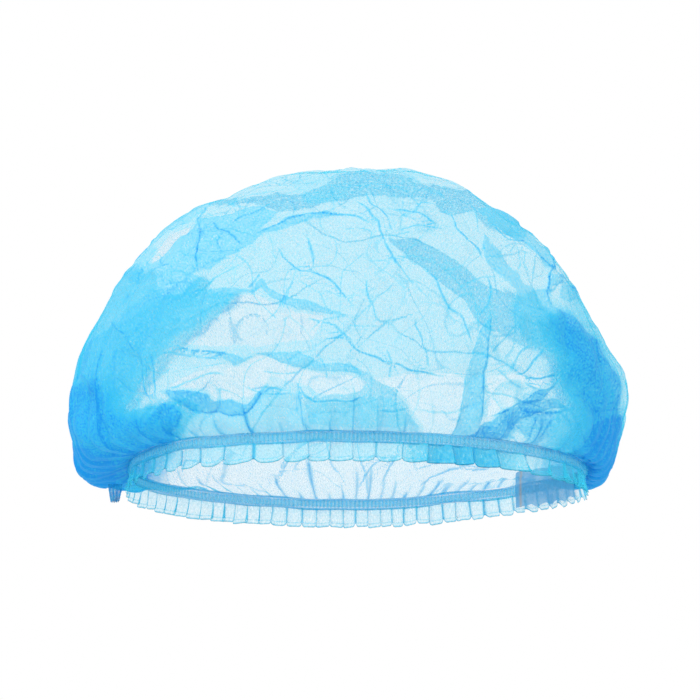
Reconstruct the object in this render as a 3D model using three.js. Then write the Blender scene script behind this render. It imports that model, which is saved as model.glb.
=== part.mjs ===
// Disposable bouffant cap of light-blue non-woven cloth, puffed open as it is worn.
// Millimetres, +Z up, -Y towards the wearer's face, +X to the right of someone who faces the wearer.
// The origin is the centre of the elastic ring, in the ring's own level.
import * as THREE from "three";
import { mergeVertices } from "three/addons/utils/BufferGeometryUtils.js";

// Driving dimensions.
const RING = { right: 114, left: 111, front: 98, back: 95, squareFront: 2.5, squareBack: 1.95 };
const RING_LEVEL = { endDip: 1, twist: 3 };
const CHANNEL = { halfHeight: 3, halfDepth: 1.8, wall: 0.9, slit: 0.9 };
const ELASTIC = { halfHeight: 1.75, halfDepth: 0.55 };
const FRILL = {
  length: 9,
  wall: 1,
  pleats: 70,
  backCrowding: 0.267,
  topWave: 0.7,
  hemWave: 2.4,
  flare: 1.6,
};
const CROWN = { wall: 1.2, columns: 76, rows: 18 };
const OVERLAP = { from: 8, to: 37, wall: 0.9, above: 9, below: 10 };
const TAB = { width: 7, height: 7.5, thickness: 1.2, top: -7.6, outside: 4.2 };
const GAP = 0.3;
const RING_COLUMNS = 80;
const FULL_TURN = 2 * Math.PI;
const COLOURS = {
  crown: 0x6ecdf2,
  channel: 0x58b8e6,
  elastic: 0xdfeef5,
  frill: 0x8ed8f5,
  overlap: 0x6aa6cc,
  tab: 0x2f86cf,
};

// Horizontal sections of the crown. at: share of the way from the rim to the top. height: of the
// section over front and back. droop: how much lower it hangs over the two ends. right, left, front
// and back: how far the cloth reaches from the middle each way. squareFront and squareBack: 2 for an
// oval, more for fuller corners.
const SECTIONS = [
  { at: 0.0, height: 3.4, droop: 1,
    right: 116.4, left: 113.4, front: 100.4, back: 97.4, squareFront: 2.5, squareBack: 1.95 },
  { at: 0.04, height: 7, droop: 8,
    right: 119.5, left: 123, front: 104, back: 102, squareFront: 2.4, squareBack: 2 },
  { at: 0.09, height: 14, droop: 14,
    right: 126, left: 135, front: 108, back: 108, squareFront: 2.3, squareBack: 2.1 },
  { at: 0.16, height: 28, droop: 14,
    right: 132, left: 141, front: 112, back: 113, squareFront: 2.2, squareBack: 2.1 },
  { at: 0.25, height: 47, droop: 9,
    right: 137, left: 141, front: 115, back: 117, squareFront: 2.2, squareBack: 2.2 },
  { at: 0.34, height: 66, droop: 4,
    right: 124, left: 133, front: 115, back: 117, squareFront: 2.2, squareBack: 2.2 },
  { at: 0.43, height: 85, droop: 1,
    right: 112, left: 121, front: 110, back: 112, squareFront: 2.1, squareBack: 2.1 },
  { at: 0.53, height: 103, droop: 0,
    right: 101, left: 107, front: 99, back: 102, squareFront: 2.1, squareBack: 2.1 },
  { at: 0.64, height: 120, droop: 0,
    right: 84, left: 92, front: 83, back: 86, squareFront: 2.1, squareBack: 2.1 },
  { at: 0.75, height: 134, droop: 0,
    right: 67, left: 69, front: 63, back: 66, squareFront: 2, squareBack: 2 },
  { at: 0.87, height: 146.5, droop: 0,
    right: 42, left: 44, front: 38, back: 40, squareFront: 2, squareBack: 2 },
  { at: 1.0, height: 152.5, droop: 0,
    right: 0, left: 0, front: 0, back: 0, squareFront: 2, squareBack: 2 },
];

const OUTLINE_COLUMNS = ["right", "left", "front", "back", "squareFront", "squareBack"];

// Main folds of the crown. wall: -1 for the front, +1 for the back. The fold's line runs from
// (x0, z0) to (x1, z1) as seen from the front. depth: how far the cloth is pushed in (out when
// negative). width: half width of the dent.
const FOLDS = [
  { name: "long tuck, left half", wall: -1, x0: -86, z0: 62, x1: -30, z1: 57, depth: 5, width: 9 },
  { name: "long tuck, middle", wall: -1, x0: -30, z0: 57, x1: 8, z1: 50, depth: 5, width: 8 },
  { name: "long tuck, fall to the rim", wall: -1, x0: 8, z0: 50, x1: 32, z1: 22, depth: 4, width: 8 },
  { name: "upper tuck", wall: -1, x0: -75, z0: 90, x1: -2, z1: 77, depth: 4, width: 8 },
  { name: "pocket over the band", wall: -1, x0: -92, z0: 38, x1: -44, z1: 30, depth: 4.5, width: 9 },
  { name: "ridge under the top", wall: -1, x0: -66, z0: 106, x1: 2, z1: 124, depth: -3, width: 9 },
  { name: "long crease", wall: -1, x0: 0, z0: 132, x1: 28, z1: 92, depth: 3, width: 8 },
  { name: "pinched wedge", wall: -1, x0: 64, z0: 76, x1: 56, z1: 26, depth: -4.5, width: 8 },
  { name: "upper left ridge", wall: -1, x0: -104, z0: 96, x1: -60, z1: 124, depth: -3, width: 9 },
  { name: "right fan, upper", wall: -1, x0: 104, z0: 48, x1: 70, z1: 62, depth: 3.5, width: 8 },
  { name: "right fan, lower", wall: -1, x0: 104, z0: 44, x1: 66, z1: 28, depth: 4, width: 8 },
  { name: "left end fold", wall: -1, x0: -116, z0: 4, x1: -112, z1: 58, depth: 5, width: 9 },
  { name: "back diagonal", wall: 1, x0: -70, z0: 40, x1: 10, z1: 96, depth: 4, width: 10 },
  { name: "back upright", wall: 1, x0: 40, z0: 20, x1: 28, z1: 84, depth: -4, width: 10 },
  { name: "back crossing", wall: 1, x0: 24, z0: 102, x1: 84, z1: 58, depth: 4, width: 10 },
];

// Eased value of one column of a table between its rows.
function columnAt(table, column, share) {
  const last = table.length - 1;
  const after = table.findIndex((row) => row.at >= share);
  const i = Math.min(Math.max(after - 1, 0), last - 1);
  const low = table[i];
  const high = table[i + 1];
  const before = table[Math.max(i - 1, 0)];
  const beyond = table[Math.min(i + 2, last)];
  const span = high.at - low.at;
  const f = (share - low.at) / span;
  const slopeLow = (high[column] - before[column]) / (high.at - before.at) * span;
  const slopeHigh = (beyond[column] - low[column]) / (beyond.at - low.at) * span;
  return (
    (2 * f ** 3 - 3 * f ** 2 + 1) * low[column] +
    (f ** 3 - 2 * f ** 2 + f) * slopeLow +
    (3 * f ** 2 - 2 * f ** 3) * high[column] +
    (f ** 3 - f ** 2) * slopeHigh
  );
}

// Distance from the middle to a rounded outline with its own half size each way.
function reach(angle, half) {
  const across = Math.cos(angle);
  const along = Math.sin(angle);
  const halfX = across > 0 ? half.right : half.left;
  const halfY = along > 0 ? half.back : half.front;
  const squareness = along > 0 ? half.squareBack : half.squareFront;
  const sum = Math.abs(across / halfX) ** squareness + Math.abs(along / halfY) ** squareness;
  return sum ** (-1 / squareness);
}

// How strongly an angle belongs to one of the two ends of the ring: 1 there, 0 at front and back.
function endShare(angle) {
  return Math.cos(angle) ** 4;
}

// How far the right part of the hem is twisted: up at the back corner, down at the front one.
function twistAt(angle) {
  return RING_LEVEL.twist * 2 * Math.sin(angle) * Math.max(Math.cos(angle), 0) ** 2;
}

// Centre line of the hem: a rounded ring, nearly level.
function ringPoint(angle) {
  const distance = reach(angle, RING);
  const height = twistAt(angle) - RING_LEVEL.endDip * endShare(angle);
  return new THREE.Vector3(distance * Math.cos(angle), distance * Math.sin(angle), height);
}

// Level direction that points straight out of the ring.
function ringOutward(angle) {
  const step = 0.01;
  const along = ringPoint(angle + step).sub(ringPoint(angle - step));
  return new THREE.Vector3(along.y, -along.x, 0).normalize();
}

// Point beside the ring: out is level and outward, up is height over the centre line.
function besideRing(angle, out, up) {
  return ringPoint(angle).addScaledVector(ringOutward(angle), out).add(new THREE.Vector3(0, 0, up));
}

// Place of a profile point at an angle: its x lies outward, its y up.
function aroundRing(angle, spot) {
  return besideRing(angle, spot.x, spot.y);
}

// Push of one fold on a point of the crown, as a rounded groove along the fold's line.
function foldPush(fold, point) {
  if (point.y * fold.wall < 0) return 0;
  const start = new THREE.Vector3(fold.x0, 0, fold.z0);
  const line = new THREE.Line3(start, new THREE.Vector3(fold.x1, 0, fold.z1));
  const seen = new THREE.Vector3(point.x, 0, point.z);
  const distance = line.closestPointToPoint(seen, true, new THREE.Vector3()).distanceTo(seen);
  return fold.depth * Math.exp(-((distance / fold.width) ** 2));
}

// The crown's smooth form at an angle and a share of the way from the rim to the top.
function puffPoint(angle, share) {
  const entries = OUTLINE_COLUMNS.map((column) => [column, columnAt(SECTIONS, column, share)]);
  const half = Object.fromEntries(entries);
  const distance = half.right < 0.01 ? 0 : reach(angle, half);
  const droop = columnAt(SECTIONS, "droop", share) * endShare(angle);
  const height = columnAt(SECTIONS, "height", share) - droop + twistAt(angle) * (1 - share) ** 6;
  return new THREE.Vector3(distance * Math.cos(angle), distance * Math.sin(angle), height);
}

// Outward direction of the smooth form.
function puffOutward(angle, share) {
  if (share > 0.995) return new THREE.Vector3(0, 0, 1);
  const step = 0.004;
  const round = puffPoint(angle + step, share).sub(puffPoint(angle - step, share));
  const upper = puffPoint(angle, Math.min(share + step, 1));
  const lower = puffPoint(angle, Math.max(share - step, 0));
  return round.cross(upper.sub(lower)).normalize();
}

// Crown with its folds; depth is how far inside the outer face the point lies.
function crownPoint(angle, share, depth) {
  const point = puffPoint(angle, share);
  const fadeAtRim = Math.min(share / 0.08, 1);
  const push = FOLDS.reduce((sum, fold) => sum + foldPush(fold, point), 0) * fadeAtRim;
  return point.addScaledVector(puffOutward(angle, share), -push - depth);
}

// A lathe whose every vertex is moved to where place(column angle, profile point) puts it.
function shapedLathe(profile, columns, angleOf, place) {
  const lathe = new THREE.LatheGeometry(profile, columns);
  lathe.deleteAttribute("normal");
  lathe.deleteAttribute("uv");
  const spots = lathe.getAttribute("position");
  for (let k = 0; k < spots.count; k += 1) {
    const column = Math.floor(k / profile.length) % columns;
    const spot = place(angleOf(column), profile[k % profile.length], column);
    spots.setXYZ(k, spot.x, spot.y, spot.z);
  }
  const closed = mergeVertices(lathe);
  closed.computeVertexNormals();
  return closed;
}

// Closed profile from pairs of out and up.
function closedProfile(pairs) {
  return [...pairs, pairs[0]].map(([out, up]) => new THREE.Vector2(out, up));
}

function evenAngle(column) {
  return (column / RING_COLUMNS) * FULL_TURN;
}

function makeCrown() {
  const shares = Array.from({ length: CROWN.rows + 1 }, (_, i) => (i / CROWN.rows) ** 1.25);
  const inner = shares.map((share) => new THREE.Vector2(CROWN.wall, share)).reverse();
  const outer = shares.map((share) => new THREE.Vector2(0, share));
  const angleOf = (column) => (column / CROWN.columns) * FULL_TURN;
  const place = (angle, spot) => crownPoint(angle, spot.y, spot.x);
  return shapedLathe([...inner, ...outer], CROWN.columns, angleOf, place);
}

// The folded hem that holds the elastic: a flat sleeve with a slit along its inner side.
function makeHemChannel() {
  const { halfHeight: high, halfDepth: deep, wall, slit } = CHANNEL;
  const slitTop = -high + wall + slit;
  const profile = closedProfile([
    [deep, -high],
    [deep, high],
    [-deep, high],
    [-deep, slitTop],
    [-deep + wall, slitTop],
    [-deep + wall, high - wall],
    [deep - wall, high - wall],
    [deep - wall, -high + wall],
    [-deep, -high + wall],
    [-deep, -high],
  ]);
  return shapedLathe(profile, RING_COLUMNS, evenAngle, aroundRing);
}

function makeElasticBand() {
  const { halfHeight: high, halfDepth: deep } = ELASTIC;
  const profile = closedProfile([[deep, -high], [deep, high], [-deep, high], [-deep, -high]]);
  return shapedLathe(profile, RING_COLUMNS, evenAngle, aroundRing);
}

// Angle of a pleat count around the ring: pleats crowd together at the back.
function pleatAngle(phase) {
  const even = (phase / FRILL.pleats) * FULL_TURN;
  let angle = even;
  for (let round = 0; round < 30; round += 1) angle = even + FRILL.backCrowding * Math.cos(angle);
  return angle;
}

// The frill below the hem: four columns a pleat, zigzag in plan, pressed flat at the two ends.
function makeFrill() {
  const quarter = [0, 1, 0, -1];
  const top = -CHANNEL.halfHeight - GAP;
  const bottom = top - FRILL.length;
  const half = FRILL.wall / 2;
  const profile = closedProfile([[half, bottom], [half, top], [-half, top], [-half, bottom]]);
  const place = (angle, spot, column) => {
    const lower = spot.y < top;
    const wave = (lower ? FRILL.hemWave : FRILL.topWave) * (1 - 0.9 * Math.cos(angle) ** 8);
    const flare = lower ? FRILL.flare : 0;
    return besideRing(angle, spot.x + flare + wave * quarter[column % 4], spot.y);
  };
  return shapedLathe(profile, FRILL.pleats * 4, (column) => pleatAngle(column / 4), place);
}

// Smooth strip inside the right end, where the two ends of the hem lap over each other.
function makeHemOverlap() {
  const columns = 12;
  const height = OVERLAP.above + OVERLAP.below;
  const strip = new THREE.BoxGeometry(columns, height, OVERLAP.wall, columns, 1, 1);
  strip.deleteAttribute("normal");
  strip.deleteAttribute("uv");
  const spots = strip.getAttribute("position");
  const face = -CHANNEL.halfDepth - GAP - OVERLAP.wall / 2;
  for (let k = 0; k < spots.count; k += 1) {
    const share = spots.getX(k) / columns + 0.5;
    const angle = THREE.MathUtils.degToRad(OVERLAP.to + (OVERLAP.from - OVERLAP.to) * share);
    const up = (OVERLAP.above - OVERLAP.below) / 2 + spots.getY(k);
    const spot = besideRing(angle, face - spots.getZ(k), up);
    spots.setXYZ(k, spot.x, spot.y, spot.z);
  }
  const closed = mergeVertices(strip);
  closed.computeVertexNormals();
  return closed;
}

// Torn stub of fused cloth that stands out of the left end, square to the ring.
function makeEndTab() {
  const outline = new THREE.Shape();
  outline.moveTo(0, 0);
  outline.lineTo(TAB.width, -0.6);
  outline.lineTo(TAB.width - 0.6, -TAB.height * 0.55);
  outline.lineTo(TAB.width * 0.76, -TAB.height);
  outline.lineTo(TAB.width * 0.28, -TAB.height * 0.97);
  outline.lineTo(0.2, -TAB.height * 0.62);
  outline.closePath();
  const tab = new THREE.ExtrudeGeometry(outline, { depth: TAB.thickness, bevelEnabled: false });
  tab.rotateX(Math.PI / 2);
  const left = ringPoint(Math.PI).x - TAB.outside - TAB.width;
  return tab.translate(left, TAB.thickness / 2, TAB.top);
}

function cloth(shade, roughness) {
  return new THREE.MeshStandardMaterial({ color: shade, roughness, metalness: 0 });
}

// Name, geometry and finish of each sub-part.
const PIECES = [
  ["crown", makeCrown(), cloth(COLOURS.crown, 0.75)],
  ["hem_channel", makeHemChannel(), cloth(COLOURS.channel, 0.75)],
  ["elastic_band", makeElasticBand(), cloth(COLOURS.elastic, 0.6)],
  ["frill", makeFrill(), cloth(COLOURS.frill, 0.75)],
  ["hem_overlap", makeHemOverlap(), cloth(COLOURS.overlap, 0.65)],
  ["end_tab", makeEndTab(), cloth(COLOURS.tab, 0.7)],
];

const group = new THREE.Group();
for (const [name, geometry, material] of PIECES) {
  const mesh = new THREE.Mesh(geometry, material);
  mesh.name = name;
  group.add(mesh);
}

export default group;
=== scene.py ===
# %% [markdown]
# # A disposable bouffant cap
# This lesson builds a puffed hair cap of very thin non-woven cloth around a plain CAD model of it.
# The cloth is one sheer layer, so its look comes from how many layers lie behind one another: the
# front wall, the back wall, every tuck that doubles back on itself, and the gathers of the hem.
# We start by loading the CAD model, which gives the frame that every piece is placed in.

import bpy
import numpy as np
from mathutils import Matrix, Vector


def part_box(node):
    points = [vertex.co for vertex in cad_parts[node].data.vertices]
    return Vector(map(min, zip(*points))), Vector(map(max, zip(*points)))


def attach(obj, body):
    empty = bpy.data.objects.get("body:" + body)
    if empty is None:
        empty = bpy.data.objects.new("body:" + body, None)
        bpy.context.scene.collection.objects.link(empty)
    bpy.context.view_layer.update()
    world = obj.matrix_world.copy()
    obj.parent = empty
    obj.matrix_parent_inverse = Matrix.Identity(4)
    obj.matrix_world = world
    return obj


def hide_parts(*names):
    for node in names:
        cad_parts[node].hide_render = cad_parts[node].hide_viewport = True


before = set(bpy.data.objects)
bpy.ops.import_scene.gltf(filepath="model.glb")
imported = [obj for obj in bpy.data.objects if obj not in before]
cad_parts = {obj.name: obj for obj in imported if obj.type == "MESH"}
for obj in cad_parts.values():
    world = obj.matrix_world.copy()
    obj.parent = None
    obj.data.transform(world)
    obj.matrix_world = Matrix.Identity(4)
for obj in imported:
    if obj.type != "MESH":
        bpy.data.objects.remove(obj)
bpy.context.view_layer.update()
MM = 0.001
TURN = 2 * np.pi
print("nodes:", sorted(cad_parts))

# %% [markdown]
# ## Measures of the cap
# All shapes below are worked out in millimetres and put in metres when a mesh is made. The elastic
# ring lies level around the origin. The crown is a stack of rounded level outlines from its rim to
# its top: a table with one row for each section is the shortest honest description of such a bag.

# %% Measures
RING = {"right": 114, "left": 111, "front": 98, "back": 95, "square_front": 2.5, "square_back": 1.95}
END_DIP = 1
CORNER_TWIST = 3
SLEEVE_HALF_HEIGHT = 3
HEM_BOTTOM = -12.4
PLEATS = 70
BACK_CROWDING = 0.267
CROWN_FLAT_RADIUS = 235

SECTIONS = {
    "at":           [0.00, 0.04, 0.09, 0.16, 0.25, 0.34, 0.43, 0.53, 0.64, 0.75, 0.87, 1.00],
    "height":       [3.4, 7, 14, 28, 47, 66, 85, 103, 120, 134, 146.5, 152.5],
    "droop":        [1, 8, 14, 14, 9, 4, 1, 0, 0, 0, 0, 0],
    "right":        [116.4, 119.5, 126, 132, 137, 124, 112, 101, 84, 67, 42, 0],
    "left":         [113.4, 123, 135, 141, 141, 133, 121, 107, 92, 69, 44, 0],
    "front":        [100.4, 104, 108, 112, 115, 115, 110, 99, 83, 63, 38, 0],
    "back":         [97.4, 102, 108, 113, 117, 117, 112, 102, 86, 66, 40, 0],
    "square_front": [2.5, 2.4, 2.3, 2.2, 2.2, 2.2, 2.1, 2.1, 2.1, 2, 2, 2],
    "square_back":  [1.95, 2, 2.1, 2.1, 2.2, 2.2, 2.1, 2.1, 2.1, 2, 2, 2],
}


def column_at(column, share):
    """A table column at any share of the way up: a cubic between rows, with the rows' mean slopes."""
    at = np.array(SECTIONS["at"], float)
    value = np.array(SECTIONS[column], float)
    slope = np.gradient(value, at)
    slope[1:-1] = (value[2:] - value[:-2]) / (at[2:] - at[:-2])
    i = np.clip(np.searchsorted(at, share, side="right") - 1, 0, len(at) - 2)
    span = at[i + 1] - at[i]
    f = (share - at[i]) / span
    return (
        (2 * f**3 - 3 * f**2 + 1) * value[i]
        + (f**3 - 2 * f**2 + f) * span * slope[i]
        + (3 * f**2 - 2 * f**3) * value[i + 1]
        + (f**3 - f**2) * span * slope[i + 1]
    )


def reach(angle, half):
    """Distance to a rounded outline: (|cos/a|^n + |sin/b|^n)^(-1/n), with a, b, n for each side."""
    across, along = np.cos(angle), np.sin(angle)
    a = np.where(across > 0, half["right"], half["left"])
    b = np.where(along > 0, half["back"], half["front"])
    n = np.where(along > 0, half["square_back"], half["square_front"])
    a, b = np.maximum(a, 1e-6), np.maximum(b, 1e-6)
    return (np.abs(across / a) ** n + np.abs(along / b) ** n) ** (-1 / n)


def twist_at(angle):
    """How far the right part of the hem is twisted: up at the back corner, down at the front one."""
    return CORNER_TWIST * 2 * np.sin(angle) * np.maximum(np.cos(angle), 0) ** 2


def ring_point(angle):
    """Centre line of the hem: the rounded outline, nearly level."""
    r = reach(angle, RING)
    height = twist_at(angle) - END_DIP * np.cos(angle) ** 4
    return np.stack([r * np.cos(angle), r * np.sin(angle), height], -1)


def ring_outward(angle):
    """Level direction square to the ring, from the chord between two points close by."""
    chord = ring_point(angle + 0.01) - ring_point(angle - 0.01)
    out = np.stack([chord[..., 1], -chord[..., 0], np.zeros_like(chord[..., 0])], -1)
    return out / np.linalg.norm(out, axis=-1, keepdims=True)


def beside_ring(angle, out, up):
    """A point out of the ring by out, and above its centre line by up."""
    point = ring_point(angle) + ring_outward(angle) * np.asarray(out)[..., None]
    point[..., 2] += up
    return point


def puff(angle, share):
    """The crown's smooth form: the section's outline at its height, lower over the two ends."""
    columns = ("right", "left", "front", "back", "square_front", "square_back")
    r = reach(angle, {name: column_at(name, share) for name in columns})
    droop = column_at("droop", share) * np.cos(angle) ** 4
    height = column_at("height", share) - droop + twist_at(angle) * (1 - share) ** 6
    return np.stack([r * np.cos(angle), r * np.sin(angle), height], -1)


print("crown height", SECTIONS["height"][-1], "mm, ring", RING["right"] + RING["left"], "mm wide")

# %% [markdown]
# ## Tools for cloth
# Three small tools do most of the work. `drift` is a smooth random field made of plane waves, which
# bends anything that would look ruled. `skin` turns a grid of points into a mesh with a UV map in
# metres, so that a weave keeps its size. `across_line` measures how far points lie from a bent line,
# with a sign for the side, because every fold is a shape that depends only on that distance.


# %% Cloth tools
def drift(points, wavelength, seed):
    """Smooth random value near each point: a sum of cosines of plane waves in random directions."""
    rng = np.random.default_rng(seed)
    waves = 22
    heading = rng.normal(size=(waves, 3))
    heading /= np.linalg.norm(heading, axis=1, keepdims=True)
    rate = TURN / (wavelength * rng.uniform(0.7, 1.5, waves))
    phase = rng.uniform(0, TURN, waves)
    total = np.zeros(points.shape[:-1])
    for k in range(waves):
        total += np.cos(points @ heading[k] * rate[k] + phase[k])
    return total * np.sqrt(2 / waves)


def drift3(points, wavelength, seed):
    """Three drifts as a vector."""
    return np.stack([drift(points, wavelength, seed + k) for k in range(3)], -1)


def unit(v):
    """Vectors brought to length 1."""
    return v / np.maximum(np.linalg.norm(v, axis=-1, keepdims=True), 1e-9)


def smooth(x, low, high):
    """0 below low, 1 above high, an eased ramp between."""
    f = np.clip((x - low) / (high - low), 0, 1)
    return f * f * (3 - 2 * f)


def grid_outward(points):
    """Outward direction of a grid of rows up and columns round: column step cross row step."""
    wide = np.concatenate([points[:, -1:], points, points[:, :1]], 1)
    round_step = wide[:, 2:] - wide[:, :-2]
    up_step = np.gradient(points, axis=0)
    return unit(np.cross(round_step, up_step))


def skin(name, points, uv, closed_round=True, closed_across=False, pole=False):
    """Mesh of a grid: rows by columns of points in mm. uv has one column more when closed round.
    A pole closes the last row with a fan to its middle."""
    rows, columns = points.shape[:2]
    j_last = rows if closed_across else rows - 1
    i_last = columns if closed_round else columns - 1
    j, i = np.meshgrid(np.arange(j_last), np.arange(i_last), indexing="ij")
    j, i = j.ravel(), i.ravel()
    corners_j = np.stack([j, j, j + 1, j + 1], -1)
    corners_i = np.stack([i, i + 1, i + 1, i], -1)
    index = (corners_j % rows) * columns + corners_i % columns
    vertices = points.reshape(-1, 3) * MM
    faces = index.tolist()
    loop_uv = uv[corners_j, corners_i].reshape(-1, 2)
    if pole:
        tip = len(vertices)
        vertices = np.vstack([vertices, points[-1].mean(0) * MM])
        base = (rows - 1) * columns
        k = np.arange(columns)
        fan = np.stack([base + k, base + (k + 1) % columns, np.full(columns, tip)], -1)
        faces += fan.tolist()
        middle = np.full((columns, 2), uv[-1, :columns].mean(0))
        fan_uv = np.stack([uv[-1, k], uv[-1, k + 1], middle], 1)
        loop_uv = np.vstack([loop_uv, fan_uv.reshape(-1, 2)])
    mesh = bpy.data.meshes.new(name)
    mesh.from_pydata(vertices.tolist(), [], faces)
    mesh.uv_layers.new(name="cloth").data.foreach_set("uv", (loop_uv * MM).ravel())
    mesh.polygons.foreach_set("use_smooth", np.ones(len(mesh.polygons), bool))
    mesh.update()
    piece = bpy.data.objects.new(name, mesh)
    bpy.context.scene.collection.objects.link(piece)
    print(name, len(mesh.vertices), "points,", sum(len(f) - 2 for f in faces), "triangles")
    return piece


def mark(piece, name, values):
    """Stores one number for each point of a piece, for its material to read."""
    data = np.zeros(len(piece.data.vertices))
    values = np.ravel(values)
    data[: len(values)] = values
    data[len(values):] = values[-1] if len(values) else 0
    piece.data.attributes.new(name, "FLOAT", "POINT").data.foreach_set("value", data)


def rounded_line(corners, step=3.0):
    """A bent line through its corners, as a Catmull-Rom curve with a point every few mm."""
    p = np.array(corners, float)
    p = np.vstack([2 * p[0] - p[1], p, 2 * p[-1] - p[-2]])
    pieces = []
    for a, b, c, d in zip(p[:-3], p[1:-2], p[2:-1], p[3:]):
        t = np.arange(0, 1, 1 / max(2, round(np.linalg.norm(c - b) / step)))[:, None]
        turn = 2 * a - 5 * b + 4 * c - d
        pieces.append(0.5 * (2 * b + (c - a) * t + turn * t**2 + (3 * b - a - 3 * c + d) * t**3))
    return np.vstack(pieces + [p[-2:-1]])


def across_line(points, normals, line):
    """For each point: signed distance from a bent line in mm, the share of the way along it, and
    the direction in the cloth square to the line."""
    start, end = line[:-1], line[1:]
    run = end - start
    length = np.linalg.norm(run, axis=1)
    best = np.full(len(points), np.inf)
    along = np.zeros(len(points))
    away = np.zeros_like(points)
    heading = np.zeros_like(points)
    passed = 0.0
    for k in range(len(run)):
        f = np.clip((points - start[k]) @ run[k] / length[k] ** 2, 0, 1)
        gap = points - (start[k] + f[:, None] * run[k])
        distance = np.linalg.norm(gap, axis=1)
        nearer = distance < best
        best[nearer] = distance[nearer]
        along[nearer] = passed + f[nearer] * length[k]
        away[nearer] = gap[nearer]
        heading[nearer] = run[k] / length[k]
        passed += length[k]
    square = unit(np.cross(normals, heading))
    side = np.sign(np.einsum("ij,ij->i", away, square))
    return best * side, along / passed, square


# %% [markdown]
# ## The crown's grid
# The crown is one sheet, so it is one grid: columns run round the head and rows run from the rim to
# the top, closer together low down and in front, where the folds are. The smooth form comes first.
# Every wrinkle is then a push along the outward direction or a slide within the cloth.

# %% Crown grid
COLUMNS = 760
LOW_ROWS, HIGH_ROWS = 98, 32
FRONT_CROWDING = 0.3
low_shares = np.linspace(0, 0.62, LOW_ROWS, endpoint=False)
high_shares = np.linspace(0.62, 0.985, HIGH_ROWS)
shares = np.concatenate([low_shares, high_shares])[:, None]
even_angles = np.arange(COLUMNS)[None, :] / COLUMNS * TURN
angles = even_angles - FRONT_CROWDING * np.cos(even_angles)
share_grid, angle_grid = np.broadcast_arrays(shares, angles)
form = puff(angle_grid, share_grid)
outward = grid_outward(form)
print("crown grid", form.shape[:2])

# %% [markdown]
# ## Two ways to note a fold
# A sheet this thin keeps the folds of its packing. They are noted as a person in front and a
# little below sees them, in mm across and up. A crease is a bent line laid on the front or back wall.
# A lap is an outline inside which the cloth lies in more layers.
# What gets stored on the mesh is never the fold itself but the distance to it, with a sign for the
# side. A distance changes evenly from point to point, so the material can draw an edge from it that
# is far sharper than the mesh is fine.

# %% Distances to folds
VIEW_FROM_BELOW = np.radians(11.5)
seen_up = np.array([0, -np.sin(VIEW_FROM_BELOW), np.cos(VIEW_FROM_BELOW)])
toward_viewer = np.array([0, -np.cos(VIEW_FROM_BELOW), -np.sin(VIEW_FROM_BELOW)])
faces_viewer = outward @ toward_viewer > 0


def seen(points):
    """Points in space as (across, up) for the viewer in front."""
    return np.stack([points[..., 0], points @ seen_up], -1)


def lay_on(line, wall):
    """A line of (across, up) as points on the front (wall -1) or back (wall 1) of the crown."""
    candidates = form[faces_viewer if wall < 0 else ~faces_viewer]
    flat = seen(candidates)
    spots = []
    for point in rounded_line(line):
        distance = np.linalg.norm(flat - point, axis=1)
        near = np.argpartition(distance, 6)[:6]
        weight = 1 / (distance[near] + 0.3)
        spots.append((candidates[near] * weight[:, None]).sum(0) / weight.sum())
    spots = np.array(spots)
    for _ in range(2):
        spots[1:-1] = (spots[:-2] + 2 * spots[1:-1] + spots[2:]) / 4
    return spots


def inside_by(flat, outline):
    """How far points lie inside an outline, in mm: distance to its nearest side, minus outside."""
    corners = np.array(outline, float)
    following = np.roll(corners, -1, axis=0)
    best = np.full(len(flat), np.inf)
    inside = np.zeros(len(flat), bool)
    for a, b in zip(corners, following):
        run = b - a
        f = np.clip((flat - a) @ run / (run @ run), 0, 1)
        best = np.minimum(best, np.linalg.norm(flat - a - f[:, None] * run, axis=1))
        spans = (a[1] > flat[:, 1]) != (b[1] > flat[:, 1])
        crossing = a[0] + (flat[:, 1] - a[1]) * run[0] / (run[1] if run[1] else 1e-9)
        inside ^= spans & (flat[:, 0] < crossing)
    return np.where(inside, best, -best)
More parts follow.
